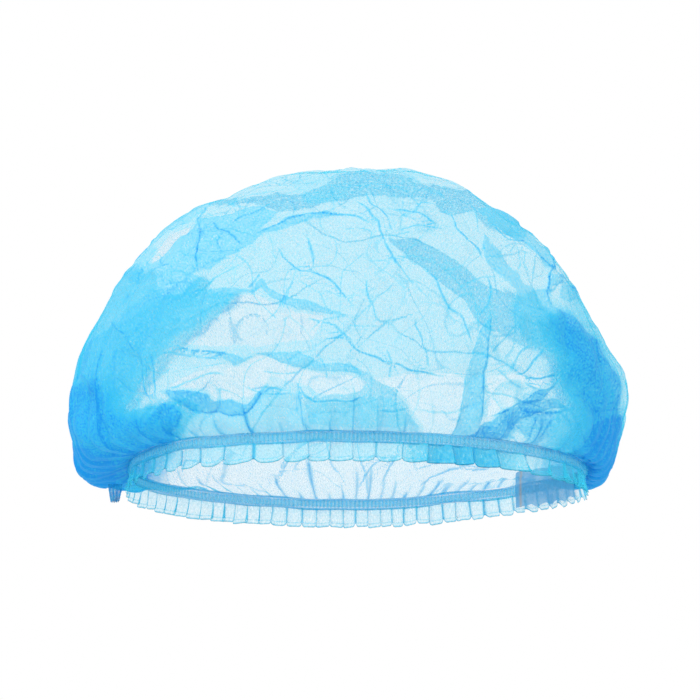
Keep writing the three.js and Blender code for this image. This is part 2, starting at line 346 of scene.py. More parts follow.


# %% [markdown]
# ## The laps
# Each lap belongs to one of four kinds, from a slight one to a thick one, so that a place inside
# laps of two kinds has the layers of both. The last kind is cloth drawn thin. At the two ends the
# cloth is gathered most and both walls are thick. One more kind is painted shade: low on the two
# ends, under the overhanging crown, the front wall gets a thick lap's layers once more.

# %% Laps
# wall (-1 front, 1 back, 0 both walls and a softer edge), kind, outline
LAPS = [
    (0, "lap", [(-150, -20), (-144, 40), (-138, 62), (-131, 72), (-122, 85), (-112, 98), (-103, 102),
                (-100, 89), (-88, 90), (-84, 95), (-78, 98), (-73, 95), (-76, 90), (-57, 89), (-61, 82),
                (-70, 79), (-73, 74), (-77, 70), (-84, 67), (-87, 62), (-94, 58), (-97, 52), (-102, 47),
                (-107, 40), (-111, 33), (-113, 27), (-108, 31), (-98, 34), (-88, 36), (-80, 31), (-84, 26),
                (-88, 19), (-100, 8), (-110, -20)]),
    (0, "slight", [(-150, -20), (-144, 40), (-136, 58), (-126, 68), (-114, 75), (-105, 83), (-98, 88),
                   (-88, 90), (-80, 95), (-77, 92), (-81, 86), (-89, 80), (-93, 70), (-99, 66), (-104, 56),
                   (-107, 46), (-112, 38), (-117, 30), (-112, 24), (-100, 30), (-90, 34), (-82, 30),
                   (-88, 20), (-104, 4), (-110, -20)]),
    (0, "thick", [(-150, -20), (-143, 32), (-137, 42), (-126, 45), (-120, 38), (-118, 30), (-104, 27),
                  (-94, 24), (-90, 16), (-108, -20)]),
    (-1, "thick", [(-92, 35), (-86, 34), (-81, 29), (-88, 19), (-98, 14), (-104, 22), (-96, 31)]),
    (-1, "lap", [(-104, 88), (-101, 103), (-97, 104), (-90, 109), (-84, 114), (-77, 120), (-76, 124),
                 (-70, 126), (-60, 127), (-54, 131), (-44, 131.5), (-37, 129), (-42, 124), (-46, 118),
                 (-50, 112), (-57, 109), (-62, 105), (-68, 100), (-78, 97), (-88, 92), (-96, 88)]),
    (-1, "slight", [(-114, 97), (-108, 106), (-101, 117), (-90, 126), (-80, 131), (-68, 135), (-74, 127),
                   (-80, 121.5), (-90, 117), (-96, 111), (-100, 104), (-103, 98), (-106, 92)]),
    (1, "lap", [(-80, 131), (-62, 136.5), (-42, 139), (-18, 142), (-8, 147), (4, 149.5), (20, 148),
                (32, 143.5), (46, 141), (60, 138.5), (70, 134), (80, 127), (86, 119), (84, 116), (72, 121),
                (66, 124), (60, 130.5), (50, 128), (44, 131), (40, 137), (25, 139), (8, 139.5),
                (-10, 137.5), (-28, 133), (-37, 131), (-43, 133.5), (-56, 135), (-68, 133)]),
    (-1, "lap", [(-76, 90), (-62, 91.2), (-50, 90.6), (-45, 96), (-41, 91), (-30, 86.5), (-22, 84.5),
                 (-14, 81), (0, 77), (-14, 78.2), (-24, 80.6), (-34, 83.4), (-42, 88), (-45, 92),
                 (-50, 89), (-62, 89.5)]),
    (-1, "lap", [(-50, 111), (-50, 117), (-44, 119.6), (-37, 120), (-33, 124.5), (-24, 125.6),
                 (-14, 128.6), (-6, 128), (-20, 125.2), (-29, 121.4), (-37, 118.4), (-44, 117.4)]),
    (-1, "lap", [(-66, 60), (-60, 58.6), (-52, 57), (-46, 60), (-40, 59.6), (-28, 60.2), (-20, 57.6),
                 (-15, 54), (-2, 54), (5, 49), (-4, 50.4), (-20, 51), (-30, 53), (-40, 57), (-46, 59),
                 (-52, 56), (-58, 54), (-63, 57)]),
    (1, "slight", [(-1, 52), (5, 49.6), (12, 45), (20, 40), (27, 32.5), (31, 26), (33, 21), (12, 19),
                (-12, 19), (-24, 22), (-26, 36), (-18, 34.6), (-10, 36.6), (0, 37), (6, 40), (3, 46)]),
    (-1, "slight", [(-88, 18), (-80, 30), (-50, 29.5), (-45, 38), (-42, 43), (-36, 40.5), (-27, 41),
                    (-24, 36), (-18, 34.6), (0, 37.2), (8, 40), (20, 36), (30, 27), (34, 18)]),
    (-1, "thick", [(-93, 41), (-80, 41.4), (-70, 40), (-67, 36), (-60, 37.4), (-55, 35.4), (-50, 35),
                   (-47, 39), (-42, 44.4), (-46, 36), (-50, 30), (-60, 29.6), (-75, 30.4), (-84, 36)]),
    (-1, "slight", [(-86, 40.6), (-76, 41), (-69, 40), (-69, 32), (-78, 33), (-84, 37)]),
    (1, "lap", [(18, 121), (22, 119.4), (31, 120), (40, 114), (48, 110.5), (57, 103), (66, 97), (70, 94),
                (77, 91), (82, 86), (84, 76), (78, 69), (70, 72), (64, 76), (58, 86), (50, 92), (43, 96),
                (38, 101), (30, 108), (22, 115)]),
    (-1, "lap", [(62, 132), (72, 133), (81, 128), (86, 119), (91, 111), (97, 110), (95, 98), (90, 104),
                 (84, 112), (78, 116), (72, 121), (66, 124)]),
    (-1, "lap", [(64, 118), (68, 112), (74, 105), (80, 99), (83, 93), (93, 90), (95, 97), (100, 95),
                 (107, 90), (110, 86), (104, 84), (100, 86), (99.5, 92), (95.5, 91), (94.5, 84), (86, 89),
                 (78, 90), (71, 96),
                 (63, 107), (62, 113)]),
    (0, "lap", [(79, 92), (86, 89), (93, 91), (95, 84), (99, 79), (106, 78), (109, 71), (116, 68),
                (120, 62), (125, 52), (131, 44), (132, 30), (131, 10), (122, -20), (98, -8), (98, 12),
                (104, 28), (106, 33), (103, 39), (100, 44), (99, 54), (94, 60), (88, 63), (80, 68),
                (76, 78)]),
    (0, "thick", [(100, 79), (106, 72), (112, 68), (119, 68), (123, 60), (128, 50), (132, 42),
                  (132.5, 28), (131, 8), (122, -20), (104, -4), (106, 14), (112, 24), (110, 33),
                  (107, 44), (101, 49), (104, 57), (98, 64), (95, 74)]),
    (0, "slight", [(98, 80), (116, 68), (122, 26), (131, 29), (131, 12), (120, -20), (110, 8),
                   (114, 22), (116, 40), (104, 62)]),
    (-1, "thick", [(56, 21), (66, 25.6), (71, 31.6), (80, 34.6), (86, 41), (93, 42.6), (98, 45.4),
                   (93, 40), (87, 36), (96, 36.6), (102, 33), (90, 31), (82, 28), (78, 24), (75, 19),
                   (60, 18), (38, 19)]),
    (-1, "lap", [(58, 21), (68, 25), (74, 31), (84, 33), (92, 32), (82, 28), (78, 23), (76, 18), (58, 17)]),
    (-1, "lap", [(78, 24), (84, 29), (96, 31), (108, 34), (108, 10), (84, 12)]),
    (-1, "lap", [(64.4, 80), (64, 68), (63, 56), (62, 44), (61, 34), (59.5, 20), (49.5, 20), (51, 34),
                 (53, 46), (56, 58), (61, 70)]),
    (-1, "slight", [(12, 21), (16, 28), (22, 27.4), (30, 22), (34, 16), (12, 16)]),
    (-1, "thin", [(-90, 43), (-76, 50), (-64, 53.6), (-56, 53.6), (-45, 58.6), (-35, 55), (-28, 52),
                  (-20, 50), (0, 48), (6, 46), (3, 40.6), (-16, 40), (-26, 45), (-40, 48), (-47, 40),
                  (-56, 37.4), (-66, 38), (-70, 42)]),
    (-1, "thin", [(34, 22), (31, 28), (26, 36), (20, 42), (10, 47), (28, 50), (50, 49.6), (53, 46),
                  (51, 34), (49, 21)]),
    (-1, "thin", [(64, 24), (64, 48), (80, 50), (97, 48), (84, 41), (76, 35), (70, 32), (66, 26)]),
    (-1, "thin", [(-57, 88), (-48, 88.6), (-36, 82), (-14, 77), (-20, 66), (-60, 62), (-80, 64),
                  (-70, 74), (-61, 81)]),
    (0, "slight", [(102, 108), (112, 97), (118, 85), (122, 72), (111, 71), (107, 82), (105, 94)]),
    (-1, "thin", [(-99, 105), (-96, 110), (-88, 116), (-78, 121.4), (-80, 118), (-90, 109), (-97, 104)]),
    # painted shade: the next two outlines give the front wall low on both ends a thick lap's layers again, under the
    # overhang
    (-1, "painted_shade", [(115, 24), (122, 27.4), (133, 28), (133, 12), (121, -18), (108, -4), (113, 12)]),
    (-1, "painted_shade", [(-146, -4), (-140, 12), (-128, 15), (-119, 6), (-120, -18)]),
]
# the painted shade kind darkens and deepens the colour as much as a thick lap
LAP_LAYERS = {"slight": 0.9, "lap": 1.6, "thick": 2.6, "painted_shade": 2.6, "thin": -0.62}
SOFT_EDGE = {"slight": 0.4, "lap": 0.3, "thick": 0.08}
FAR_AWAY = 30
form_seen = seen(form) + 0.35 * np.stack([drift(form, 15, 91), drift(form, 15, 92)], -1)
form_seen += 0.2 * np.stack([drift(form, 5, 93), drift(form, 5, 94)], -1)
laps = {kind: np.full(form.shape[:2], -float(FAR_AWAY)) for kind in LAP_LAYERS}
for wall, kind, outline in LAPS:
    here = np.ones_like(faces_viewer) if wall == 0 else faces_viewer == (wall < 0)
    sharpness = 1 if wall else SOFT_EDGE[kind]
    field = inside_by(form_seen[here], outline) * sharpness
    laps[kind][here] = np.maximum(laps[kind][here], field)
print(len(LAPS), "laps")

# %% [markdown]
# ## The creases
# A crease is darker than the cloth beside it, because the sheet stands on edge there, and it is a
# low ridge or valley in the form. Long ones are noted one by one and short ones are strewn at random.

# %% Creases
# wall, strength, height of the ridge in mm, points of the line
CREASES = [
    (-1, 1.2, 1.2, [(-76, 123), (-73.5, 118), (-75, 111), (-76, 107), (-74.5, 101), (-75, 97)]),
    (-1, 0.9, -1.0, [(-70, 124), (-66, 119), (-60, 118), (-54, 111)]),
    (-1, 0.6, 1.0, [(-77, 121), (-74, 126), (-70, 131)]),
    (-1, 0.9, 1.3, [(-50, 112), (-47, 118), (-38, 119), (-32, 123), (-20, 127), (-13, 128), (0, 127), (12, 122)]),
    (-1, 0.9, 1.2, [(0, 136), (5, 130), (10, 125), (14, 117), (17, 110), (20, 104), (26, 98)]),
    (-1, 0.9, -1.0, [(6, 138), (9, 131), (14, 130), (17, 124), (18, 117)]),
    (-1, 0.8, 1.0, [(18, 129), (26, 128), (34, 125), (42, 122)]),
    (-1, 0.7, -0.8, [(20, 119), (26, 121), (33, 122), (44, 121)]),
    (-1, 0.9, 1.2, [(44, 129), (47, 126), (49, 120), (55, 115), (60, 110), (63, 104)]),
    (-1, 0.6, -0.8, [(40, 128), (46, 127), (50, 126)]),
    (-1, 0.8, 1.0, [(58, 135), (62, 130), (64, 125)]),
    (-1, 0.8, 1.0, [(66, 124), (72, 119), (76, 115), (84, 114)]),
    (-1, 0.9, -1.0, [(67, 115), (71, 111), (74, 104), (77, 100)]),
    (-1, 0.5, 0.7, [(59, 130), (60, 122), (62, 117)]),
    (-1, 1.0, -1.2, [(-38, 112), (-33, 106), (-28, 100.5), (-19, 99), (-14, 97), (-9, 94), (-3, 84), (2, 80)]),
    (-1, 0.8, 0.9, [(-23, 117), (-20, 108), (-19.5, 100)]),
    (-1, 0.6, 0.8, [(5, 97), (6, 90), (8, 83), (10, 75), (15, 75), (20, 72)]),
    (-1, 0.8, 1.1, [(-52, 91), (-47, 95), (-45, 99)]),
    (-1, 1.1, 1.4, [(-87, 63.5), (-80, 61), (-75, 59.5), (-66, 60), (-58, 59)]),
    (-1, 0.7, -0.8, [(-79, 59.5), (-75, 57), (-66, 57), (-62, 58)]),
    (-1, 0.9, 1.1, [(-20, 62), (-16, 64.5), (-6, 67.5), (-3, 65), (0, 62), (4, 59), (12, 56), (20, 53.5), (28, 50.5), (46, 48.5)]),
    (-1, 0.7, -0.9, [(-24, 76), (-14, 74), (-6, 70), (0, 63)]),
    (-1, 0.5, 0.8, [(-16, 57), (-13, 53), (-13, 46)]),
    (-1, 0.5, 0.8, [(-90, 42), (-80, 45), (-74, 48), (-66, 50), (-60, 49)]),
    (-1, 0.8, -1.2, [(-92, 41), (-84, 36), (-75, 31), (-62, 30), (-51, 30), (-46, 35), (-42, 44), (-36, 41), (-26, 42)]),
    (-1, 0.9, 1.1, [(-29, 47), (-25, 42), (-24, 38), (-18, 35), (-10, 37), (0, 37.5), (8, 40)]),
    (-1, 0.9, 1.2, [(-26, 42), (-26, 33), (-24, 24)]),
    (-1, 1.2, 1.4, [(-100, 64), (-102, 58), (-101, 50), (-100, 40), (-97, 34)]),
    (-1, 1.0, -1.2, [(-97, 60), (-96, 50), (-95, 38)]),
    (-1, 0.6, 0.8, [(-90, 38), (-84, 34), (-78, 36)]),
    (-1, 0.6, 0.8, [(12, 32), (22, 34), (27, 33)]),
    (-1, 0.8, 1.0, [(32, 104), (35, 99), (38, 97), (41, 91), (43, 84), (48, 79), (52, 77), (54, 68), (56, 61)]),
    (-1, 0.8, 0.9, [(65, 99), (66, 90), (65, 84), (60, 78), (56, 73)]),
    (-1, 0.7, -0.9, [(28, 78), (31, 70), (34, 61), (34, 52)]),
    (-1, 0.9, 1.4, [(64, 80), (64, 68), (63, 56), (62, 44), (61, 34), (59, 23)]),
    (-1, 0.7, -0.9, [(78, 74), (72, 66), (64, 57)]),
    (-1, 0.7, 0.9, [(85, 64), (78, 57), (72, 50)]),
    (-1, 1.0, 1.1, [(92, 62), (87, 57), (83, 50), (75, 49)]),
    (-1, 0.5, 0.7, [(68, 52), (75, 45), (83, 41)]),
    (-1, 1.3, -1.2, [(82, 48), (90, 47), (99, 48.4)]),
    (-1, 0.8, 1.0, [(82, 46), (88, 41), (94, 43), (98, 46)]),
    (-1, 1.0, 1.2, [(64, 27), (72, 32), (84, 36), (96, 37)]),
    (-1, 0.8, -1.0, [(80, 31), (90, 30), (102, 32)]),
    (-1, 1.1, 1.2, [(95, 108), (95, 98), (93, 88), (95, 83), (98, 80)]),
    (-1, 0.8, 0.8, [(94, 88), (98, 91), (101, 94)]),
    (-1, 0.8, 1.0, [(84, 112), (90, 104), (97, 97), (104, 92), (110, 87)]),
    (-1, 0.8, 0.8, [(88, 30), (84, 24), (82, 18)]),
    (-1, 0.8, 0.8, [(96, 29), (92, 24), (90, 18)]),
    (-1, 0.8, 1.0, [(117, 68), (119, 57), (126, 51)]),
    (-1, 0.9, 1.0, [(-110, 102), (-104, 106), (-100, 112), (-97, 117)]),
    (-1, 0.7, -0.9, [(-98, 112), (-88, 119), (-78, 122)]),
    (-1, 0.7, 0.9, [(-90, 121), (-84, 126), (-75, 131)]),
    (-1, 0.6, 1.2, [(-120, 75), (-110, 68), (-104, 58)]),
    (-1, 0.6, 1.2, [(-134, 50), (-126, 40), (-120, 22)]),
    (-1, 0.6, -1.2, [(120, 58), (112, 46), (110, 30)]),
    (1, 0.6, 1.2, [(-96, 70), (-70, 84), (-40, 84), (-12, 100)]),
    (1, 0.6, -1.0, [(-60, 0), (-50, 24), (-30, 48), (4, 78)]),
    (1, 0.6, 1.2, [(96, 40), (70, 58), (40, 60), (16, 76)]),
    (1, 0.6, 1.0, [(12, -12), (24, 10), (22, 36), (30, 52)]),
    (1, 0.6, 1.0, [(-40, -10), (-34, 4), (-24, 12), (-8, 14)]),
    (1, 0.6, -1.0, [(2, -12), (10, 0), (24, 6)]),
    (1, 0.6, 1.0, [(32, -12), (44, -2), (60, 2), (78, 12)]),
    (1, 0.5, -1.0, [(-30, 130), (-6, 118), (22, 122), (52, 108)]),
    (1, 0.6, 1.2, [(-112, 30), (-88, 34), (-70, 50)]),
    (1, 0.5, 1.0, [(70, 106), (78, 84), (98, 70)]),
]


def lay_crease(crease, amount, move, strength, height, path, seed):
    """Takes a line into the nearest-crease distance and its strength, and raises its ridge:
    0.8 height exp(-|d| / 2.2), with a small step tanh(d / 1.5) across it."""
    low, high = path.min(0) - 22, path.max(0) + 22
    middle = path[len(path) // 2]
    normal = outward.reshape(-1, 3)[np.linalg.norm(form.reshape(-1, 3) - middle, axis=1).argmin()]
    near = ((form > low) & (form < high)).all(-1) & (outward @ normal > 0)
    spots, normals = form[near], outward[near]
    wavy = spots + 0.35 * drift3(spots, 11, seed)
    d, along, square = across_line(wavy, normals, path)
    taper = smooth(along, 0.0, 0.2) * smooth(1 - along, 0.0, 0.2)
    nearer = (np.abs(d) < np.abs(crease[near])) & (taper > 0)
    crease[near] = np.where(nearer, d, crease[near])
    amount[near] = np.where(nearer, 3.6 * strength * taper, amount[near])
    rise = 0.8 * height * np.exp(-np.abs(d) / 2.2) + 0.35 * height * np.tanh(d / 1.5) * np.exp(-((d / 9) ** 2))
    move[near] += normals * (rise * taper)[:, None]


crease = np.full(form.shape[:2], float(FAR_AWAY))
crease_amount = np.zeros(form.shape[:2])
move = np.zeros_like(form)
for k, (wall, strength, height, line) in enumerate(CREASES):
    lay_crease(crease, crease_amount, move, strength, height, lay_on(line, wall), 600 + k)

rng = np.random.default_rng(5)
SHORT_CREASES = 110
for k in range(SHORT_CREASES):
    row, column = rng.integers(14, len(shares) - 6), rng.integers(0, COLUMNS)
    middle, normal = form[row, column], outward[row, column]
    heading = unit(np.cross(normal, rng.normal(size=3)))
    half = rng.uniform(7, 22)
    bend = np.cross(normal, heading) * rng.uniform(-4, 4)
    path = np.array([middle - half * heading, middle + bend, middle + half * heading])
    lay_crease(crease, crease_amount, move, rng.uniform(0.2, 0.6), rng.uniform(-1.1, 1.1), path, 800 + k)
print("creases laid:", len(CREASES), "long and", SHORT_CREASES, "short")

# %% [markdown]
# ## The crumple
# Between the creases the sheet is crumpled all over. Random seed points share it out into cells,
# each cell bulges a little, and the lines between cells are fine creases. The distance to the second
# nearest seed less the distance to the nearest is zero on those lines, so one formula gives both.


# %% Crumple
def crumple(points, seeds, wander, seed):
    """Signed distance F2 - F1 from the lines between cells, the bulge of the cell, and a random
    number for each line. The points are bent first, so that no line is straight."""
    rng = np.random.default_rng(seed)
    flat = points.reshape(-1, 3)
    flat = flat + wander[0] * drift3(flat, wander[1], seed + 1)
    centres = flat[rng.choice(len(flat), seeds, replace=False)]
    first, second = np.full(len(flat), np.inf), np.full(len(flat), np.inf)
    owner, other = np.zeros(len(flat), int), np.zeros(len(flat), int)
    for k, centre in enumerate(centres):
        gap = np.linalg.norm(flat - centre, axis=1)
        closer = gap < first
        between = ~closer & (gap < second)
        second = np.where(closer, first, np.where(between, gap, second))
        other = np.where(closer, owner, np.where(between, k, other))
        owner = np.where(closer, k, owner)
        first = np.where(closer, gap, first)
    side = np.where(owner < other, 1, -1)
    pair = (np.minimum(owner, other) * 7919 + np.maximum(owner, other) * 104729) % 1009 / 1009
    bulge = rng.uniform(size=seeds)[owner]
    shape = points.shape[:-1]
    return ((second - first) * side).reshape(shape), bulge.reshape(shape), pair.reshape(shape)


edge, bulge, pair = crumple(form, 190, (5.0, 34), 11)
fine_edge, fine_bulge, fine_pair = crumple(form, 1000, (2.2, 15), 29)
push = (0.2 + 1.5 * bulge) * (1 - np.exp(-np.abs(edge) / 6)) - 0.5
push += (0.1 + 0.55 * fine_bulge) * (1 - np.exp(-np.abs(fine_edge) / 2.5)) - 0.3
push += 1.1 * drift(form, 70, 41) + 0.5 * drift(form, 22, 43)
move += outward * push[..., None]
for kind, rise in (("slight", 0.3), ("lap", 0.6), ("thick", 0.8), ("thin", -0.4)):
    move += outward * (rise * smooth(laps[kind], -0.8, 0.8))[..., None]
crumple_amount = np.where(pair > 0.4, 1.5 * pair, 0)
fine_amount = np.where(fine_pair > 0.6, 0.4 * fine_pair, 0)
print("crumple between", round(push.min(), 1), "and", round(push.max(), 1), "mm")

# %% [markdown]
# ## Gathers over the hem
# The elastic pulls a wide sheet into a short ring, so the cloth stands in pleats there. A pleat is a
# sheared wave: its points slide along the ring by the same sine that pushes them out, which folds
# the cloth over without ever crossing it. Pleats are wide in front and close together at the back.


# %% Gathers
def pleat_phase(angle):
    """Pleat count at an angle: angle - crowding cos(angle), scaled to the number of pleats."""
    return (angle - BACK_CROWDING * np.cos(angle)) / TURN * PLEATS


def pleat_pitch(angle):
    """Length of one pleat along the ring in mm."""
    step = 0.01
    length = np.linalg.norm(ring_point(angle + step) - ring_point(angle - step), axis=-1)
    return length / (pleat_phase(angle + step) - pleat_phase(angle - step))


def by_pleat(phase, seed):
    """A random number for each pleat, changing smoothly from one to the next."""
    return drift(np.stack([phase, 0 * phase, 0 * phase], -1), 1.1, seed)


above_rim = share_grid * CROWN_FLAT_RADIUS
straight = np.stack([np.cos(angle_grid), np.sin(angle_grid), share_grid], -1) * 100
phase = pleat_phase(angle_grid) + 0.16 * drift(straight, 60, 61) + 0.02 * (above_rim / 10) * drift(straight, 40, 62)
reach_up = np.clip(17 + 9 * by_pleat(phase, 63), 9, 34) * (1 + 1.3 * np.cos(angle_grid) ** 6)
pleat_fade = np.exp(-np.maximum(above_rim - 2, 0) / reach_up)
swing = np.sin(TURN * phase)
around = unit(np.cross(np.array([0, 0, 1.0]), outward))
pitch = pleat_pitch(angle_grid)
slide = 0.13 * pitch * swing * pleat_fade
lift = (0.11 * pitch * swing + 0.06 * pitch * np.cos(2 * TURN * phase)) * pleat_fade
move += around * slide[..., None] + outward * lift[..., None]
gather = pitch * 2 / TURN * np.cos(TURN / 2 * phase)
gather_amount = (2.3 + 0.9 * by_pleat(phase, 64)) * smooth(1.2 * reach_up - above_rim, 0, 8)

seat = beside_ring(angle_grid, 0.5, SLEEVE_HALF_HEIGHT - 0.4)
seated = smooth(above_rim, 0.5, 7)[..., None]
crown_points = seat * (1 - seated) + (form + move) * seated
radius = (1 - share_grid) * CROWN_FLAT_RADIUS
crown_uv = np.stack([radius * np.cos(angle_grid), radius * np.sin(angle_grid)], -1)
crown_uv = np.concatenate([crown_uv, crown_uv[:, :1]], 1)
crown = skin("crown_cloth", crown_points, crown_uv, pole=True)
mark(crown, "layers", 0.85 + 0.12 * (bulge - 0.5) + 0.35 * np.exp(-above_rim / 5))
mark(crown, "crease", crease)
mark(crown, "crease_amount", crease_amount)
mark(crown, "crumple", edge)
mark(crown, "crumple_amount", crumple_amount)
mark(crown, "fine", fine_edge)
mark(crown, "fine_amount", fine_amount)
mark(crown, "gather", gather)
mark(crown, "gather_amount", gather_amount)
for kind, field in laps.items():
    mark(crown, "lap_" + kind, field)

# %% [markdown]
# ## The sleeve and its elastic
# The edge of the cloth is folded round a flat elastic and closed along two lines, which show as
# darker borders. Between them the gathered cloth stands in fine ribs. The sleeve is a flat loop of a
# profile carried round the ring, thinner at the two lines, with a rib wave that dies out at them.

# %% Sleeve
RIBS = 300
SLEEVE_COLUMNS = RIBS * 6
around_section = np.arange(14)[:, None] / 14 * TURN
sleeve_angle = np.arange(SLEEVE_COLUMNS)[None, :] / SLEEVE_COLUMNS * TURN
section, sleeve_turn = np.broadcast_arrays(around_section, sleeve_angle)
up = SLEEVE_HALF_HEIGHT * np.sin(section)
thick = 1.15 * np.sign(np.cos(section)) * np.abs(np.cos(section)) ** 0.7
waist = 1 - 0.75 * np.exp(-(((np.abs(up) - 2.35) / 0.35) ** 2))
line_point = ring_point(sleeve_turn)
rib = np.sin(RIBS * sleeve_turn + 1.5 * drift(line_point, 30, 71))
rib_height = 0.24 * rib * (1 - smooth(np.abs(up), 1.9, 2.6)) * (0.75 + 0.25 * drift(line_point, 19, 72))
side = np.sign(np.cos(section))
wobble = 0.35 * drift(line_point, 23, 73)
sleeve_points = beside_ring(sleeve_turn, thick * waist + side * rib_height + wobble, up + 0.3 * drift(line_point, 38, 74))
sleeve_length = 2 * np.pi * 105
uv_round = np.arange(SLEEVE_COLUMNS + 1)[None, :] / SLEEVE_COLUMNS * sleeve_length
uv_across = np.arange(15)[:, None] / 14 * 16
sleeve_uv = np.stack(np.broadcast_arrays(uv_round, uv_across), -1)
sleeve = skin("hem_sleeve", sleeve_points, sleeve_uv, closed_across=True)
border = np.exp(-(((np.abs(up) - 2.5) / 0.5) ** 2))
valley = (0.5 - 0.5 * rib) * (1 - smooth(np.abs(up), 1.7, 2.4))
mark(sleeve, "layers", 0.4 + 2.0 * border + 1.2 * valley)

# %% Elastic
around_section = np.arange(10)[:, None] / 10 * TURN
elastic_angle = np.arange(900)[None, :] / 900 * TURN
section, elastic_turn = np.broadcast_arrays(around_section, elastic_angle)
flat_up = 1.75 * np.sign(np.sin(section)) * np.abs(np.sin(section)) ** 0.6
flat_out = 0.3 * np.sign(np.cos(section)) * np.abs(np.cos(section)) ** 0.6
line_point = ring_point(elastic_turn)
cords = 0.06 * np.cos(flat_up * TURN / 0.7) * np.sign(np.cos(section))
elastic_points = beside_ring(elastic_turn, flat_out + cords + 0.35 * drift(line_point, 23, 73), flat_up)
uv_round = np.arange(901)[None, :] / 900 * sleeve_length
uv_across = np.arange(11)[:, None] / 10 * 8
elastic = skin("elastic", elastic_points, np.stack(np.broadcast_arrays(uv_round, uv_across), -1), closed_across=True)

# %% [markdown]
# ## The frill
# Below the sleeve the doubled edge of the cloth spreads into a short frill. Its two layers are one
# profile that runs down, turns at the hem and comes back up, carried round the ring. The pleats are
# the same sheared wave as above the sleeve, growing towards the hem, and the hem is drawn up a
# little where each pleat folds over, which leaves a row of scallops.

# %% Frill
FRILL_COLUMNS = PLEATS * 18
FRILL_DROP = 9.6
down = np.concatenate([np.linspace(0, 1, 10), np.linspace(0.97, 0, 9)])[:, None]
layer_side = np.concatenate([np.ones(10), -np.ones(9)])[:, None]
frill_angle = np.arange(FRILL_COLUMNS)[None, :] / FRILL_COLUMNS * TURN
depth, frill_turn = np.broadcast_arrays(down, frill_angle)
line_point = ring_point(frill_turn)
straight = np.stack([np.cos(frill_turn), np.sin(frill_turn), 0 * frill_turn], -1) * 100
phase = pleat_phase(frill_turn) + 0.16 * drift(straight, 60, 61)
phase += 0.05 * depth * by_pleat(phase, 82)
pitch = pleat_pitch(frill_turn)
size = 1 + 0.25 * by_pleat(phase, 81)
swing = np.sin(TURN * phase)
flat_ends = 1 - 0.6 * np.cos(frill_turn) ** 10
grow = 0.4 + 0.6 * depth
slide = (0.12 + 0.05 * depth) * pitch * swing * size * flat_ends
out = (0.13 * pitch * swing - 0.06 * pitch * np.cos(2 * TURN * phase)) * grow * size * flat_ends
out += 1.5 * depth**1.5 + 0.3 * depth * drift(line_point, 12, 83) + layer_side * 0.16 * (1 - depth**8)
scallop = 1.9 * np.abs(np.sin(TURN / 2 * phase)) ** 5
drop = (FRILL_DROP - scallop + 0.25 * drift(line_point, 8, 84)) * depth
shift = slide / reach(frill_turn, RING)
frill_points = beside_ring(frill_turn + shift, out, -SLEEVE_HALF_HEIGHT + 0.5 - drop)
uv_round = np.arange(FRILL_COLUMNS + 1)[None, :] / FRILL_COLUMNS * sleeve_length * 1.6
frill_uv = np.stack(np.broadcast_arrays(uv_round, down * FRILL_DROP), -1)
frill = skin("frill_cloth", frill_points[::-1], frill_uv[::-1])
tucked = np.exp(-(((np.degrees(frill_turn) - 300) / 13) ** 4))
mark(frill, "layers", (0.5 + 0.25 * (1 - depth) ** 3 + 2.4 * tucked)[::-1])
mark(frill, "hem", (FRILL_DROP * (1 - depth))[::-1])
mark(frill, "gather", (pitch * 2 / TURN * np.cos(TURN / 2 * phase))[::-1])
mark(frill, "gather_amount", (2.2 + 0.5 * by_pleat(phase, 64))[::-1])

# %% [markdown]
# ## The lapped end and the tab
# Inside the right end the two ends of the hem lap over each other. That strip was fused before the
# elastic drew up, so it is smooth and greyer than the rest, with a brownish line where the glue of
# the elastic shows through. At the left end a stub of fused layers stands out below the crown.

# %% Lapped strip
strip_angle = np.radians(np.linspace(8, 37, 90))[None, :]
strip_up = np.linspace(-9.6, 9.0, 44)[:, None]
strip_turn, strip_high = np.broadcast_arrays(strip_angle, strip_up)
line_point = beside_ring(strip_turn, 0, strip_high)
strip_out = -2.3 + 0.35 * drift(line_point, 22, 91) + 0.12 * drift(line_point, 6, 92)
lean = 0.055 * np.maximum(strip_high - 3, 0) ** 1.3 + 0.03 * np.maximum(-3 - strip_high, 0) ** 1.3
ragged = 0.5 * drift(line_point, 7, 93) * smooth(np.abs(strip_high), 6, 9.5)
strip_points = beside_ring(strip_turn, strip_out + lean, strip_high + ragged)
strip_uv = np.stack(np.broadcast_arrays(np.linspace(0, 55, 90)[None, :], strip_up), -1)
strip = skin("lapped_strip", strip_points, strip_uv, closed_round=False)
mark(strip, "layers", 3.6 + 0.5 * drift(line_point, 9, 94))
mark(strip, "glue", np.broadcast_to(np.linspace(0, 1, 90)[None, :], strip_up.shape[:1] + (90,)) * 55 - 51.5)

# %% Torn tab
tab_box = [np.array(corner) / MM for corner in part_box("end_tab")]
tab_x = np.linspace(0, 1, 36)[None, :]
tab_z = np.linspace(0, 1, 40)[:, None]
narrow = 0.5 + (tab_x - 0.5) * (1 - 0.42 * tab_z**1.6)
torn = 1 + 0.05 * np.sin(tab_x * 31) + 0.04 * np.sin(tab_x * 73 + 1)
tab_width = tab_box[1][0] - tab_box[0][0]
tab_height = tab_box[1][2] - tab_box[0][2]
place_x = tab_box[0][0] + narrow * tab_width
place_z = tab_box[1][2] + 1.5 - (tab_height + 1.2) * tab_z * torn
place_y = 0.45 * np.sin(tab_x * 9 + tab_z * 3) + 0.3 * np.sin(tab_z * 14 + tab_x * 4)
tab_points = np.stack(np.broadcast_arrays(place_x, place_y, place_z), -1)
tab_uv = np.stack(np.broadcast_arrays(tab_x * tab_width, tab_z * tab_height), -1)
tab = skin("torn_tab", tab_points, tab_uv, closed_round=False)
mark(tab, "layers", np.broadcast_to(3.0 + 0.8 * np.sin(tab_x * 22) + 0 * tab_z, tab_points.shape[:2]))
wall = tab.modifiers.new("wall", "SOLIDIFY")
wall.thickness = 0.5 * MM
wall.offset = 0

